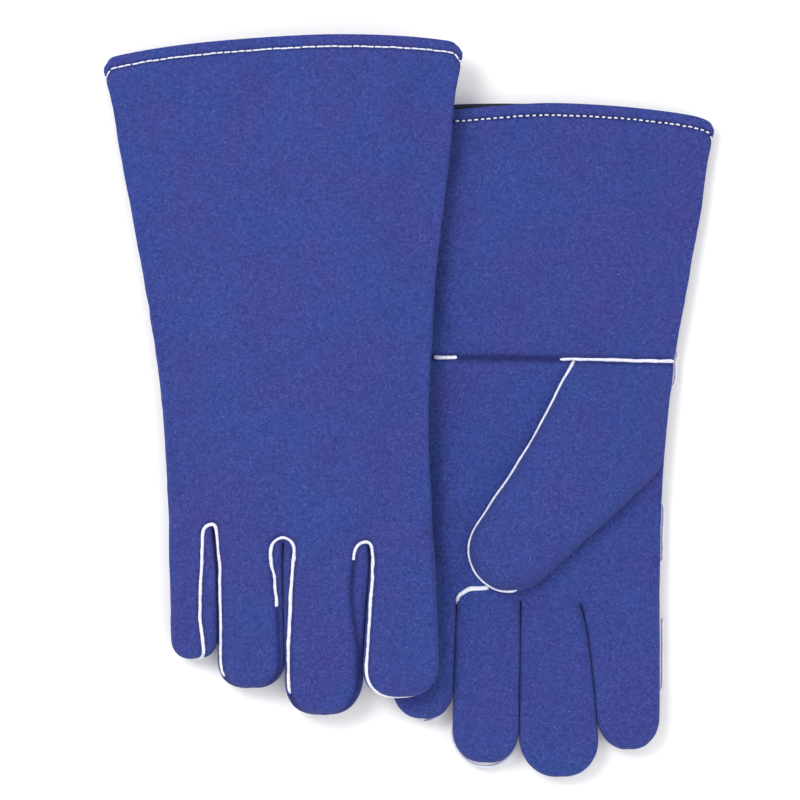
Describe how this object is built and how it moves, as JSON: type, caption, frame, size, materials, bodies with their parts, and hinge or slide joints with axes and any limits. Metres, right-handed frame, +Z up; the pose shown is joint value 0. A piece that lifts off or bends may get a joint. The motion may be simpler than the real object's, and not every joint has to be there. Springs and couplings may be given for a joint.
{
  "type": "welding gloves",
  "caption": "Pair of gauntlet welding gloves in blue split leather with white welted seams, one lying back up across the edge of the other, palm up.",
  "frame": {"origin": "middle of the pair's footprint, on the surface that it lies on", "axes": "+Z up from that surface, +Y from the fingertips towards the cuffs' mouths, +X from the right-hand glove to the left-hand glove"},
  "size_m": [0.3234, 0.3852, 0.0359],
  "materials": {
    "blue_leather": "suede split cowhide, matt, fine nap",
    "white_welt": "natural white leather strip, matt",
    "white_thread": "heat-resistant sewing thread",
    "fleece_lining": "brushed cotton fleece",
    "canvas_lining": "dark cotton duck"
  },
  "bodies": {
    "right_hand": {"right_back_panel": "blue_leather", "right_palm_panel": "blue_leather", "right_thumb_wing": "blue_leather", "right_cuff_front": "blue_leather", "right_cuff_hem": "blue_leather", "right_hem_thread": "white_thread", "right_wrist_welt": "white_welt", "right_side_welts": "white_welt", "right_hand_lining": "fleece_lining", "right_cuff_lining": "canvas_lining"},
    "right_thumb": {"right_thumb_front": "blue_leather", "right_thumb_back": "blue_leather", "right_thumb_welt": "white_welt", "right_thumb_lining": "fleece_lining"},
    "right_little": {"right_little_back": "blue_leather", "right_little_front": "blue_leather", "right_little_welt": "white_welt", "right_little_lining": "fleece_lining"},
    "right_ring": {"right_ring_back": "blue_leather", "right_ring_front": "blue_leather", "right_ring_welt": "white_welt", "right_ring_lining": "fleece_lining"},
    "right_middle": {"right_middle_back": "blue_leather", "right_middle_front": "blue_leather", "right_middle_welt": "white_welt", "right_middle_lining": "fleece_lining"},
    "right_index": {"right_index_back": "blue_leather", "right_index_front": "blue_leather", "right_index_welt": "white_welt", "right_index_lining": "fleece_lining"},
    "left_hand": {"left_back_panel": "blue_leather", "left_palm_panel": "blue_leather", "left_thumb_wing": "blue_leather", "left_cuff_front": "blue_leather", "left_cuff_hem": "blue_leather", "left_hem_thread": "white_thread", "left_wrist_welt": "white_welt", "left_side_welts": "white_welt", "left_hand_lining": "fleece_lining", "left_cuff_lining": "canvas_lining", "left_little_back": "blue_leather", "left_little_front": "blue_leather", "left_little_welt": "white_welt", "left_little_lining": "fleece_lining"},
    "left_thumb": {"left_thumb_front": "blue_leather", "left_thumb_back": "blue_leather", "left_thumb_welt": "white_welt", "left_thumb_lining": "fleece_lining"},
    "left_ring": {"left_ring_back": "blue_leather", "left_ring_front": "blue_leather", "left_ring_welt": "white_welt", "left_ring_lining": "fleece_lining"},
    "left_middle": {"left_middle_back": "blue_leather", "left_middle_front": "blue_leather", "left_middle_welt": "white_welt", "left_middle_lining": "fleece_lining"},
    "left_index": {"left_index_back": "blue_leather", "left_index_front": "blue_leather", "left_index_welt": "white_welt", "left_index_lining": "fleece_lining"}
  },
  "joints": [
    {"name": "right_glove_lift", "type": "slide", "parent": "left_hand", "child": "right_hand", "axis": [0, 0, 1], "range_m": [0, 0.12]},
    {"name": "right_little_bend", "type": "hinge", "parent": "right_hand", "child": "right_little", "pos_m": [-0.11145, -0.07535, 0.02746], "axis": [-0.9977, -0.0383, -0.0558], "range_deg": [0, 50]},
    {"name": "right_ring_bend", "type": "hinge", "parent": "right_hand", "child": "right_ring", "pos_m": [-0.07892, -0.0741, 0.02928], "axis": [-0.9977, -0.0383, -0.0558], "range_deg": [0, 50]},
    {"name": "right_middle_bend", "type": "hinge", "parent": "right_hand", "child": "right_middle", "pos_m": [-0.0419, -0.07268, 0.03135], "axis": [-0.9977, -0.0383, -0.0558], "range_deg": [0, 50]},
    {"name": "right_index_bend", "type": "hinge", "parent": "right_hand", "child": "right_index", "pos_m": [-0.00438, -0.06901, 0.03345], "axis": [-0.9977, -0.0383, -0.0558], "range_deg": [0, 50]},
    {"name": "right_thumb_swing", "type": "hinge", "parent": "right_hand", "child": "right_thumb", "pos_m": [-0.027, 0.01709, 0.00423], "axis": [0.3821, -0.9239, 0.0194], "range_deg": [0, 60]},
    {"name": "left_ring_bend", "type": "hinge", "parent": "left_hand", "child": "left_ring", "pos_m": [0.03938, -0.10096, 0.016], "axis": [-0.9998, 0.0175, 0], "range_deg": [0, 80]},
    {"name": "left_middle_bend", "type": "hinge", "parent": "left_hand", "child": "left_middle", "pos_m": [0.07648, -0.10161, 0.016], "axis": [-0.9998, 0.0175, 0], "range_deg": [0, 80]},
    {"name": "left_index_bend", "type": "hinge", "parent": "left_hand", "child": "left_index", "pos_m": [0.11417, -0.10227, 0.016], "axis": [-0.9998, 0.0175, 0], "range_deg": [0, 80]},
    {"name": "left_thumb_swing", "type": "hinge", "parent": "left_hand", "child": "left_thumb", "pos_m": [0.09479, -0.01502, 0.0281], "axis": [-0.3305, 0.9438, 0], "range_deg": [0, 75]}
  ]
}
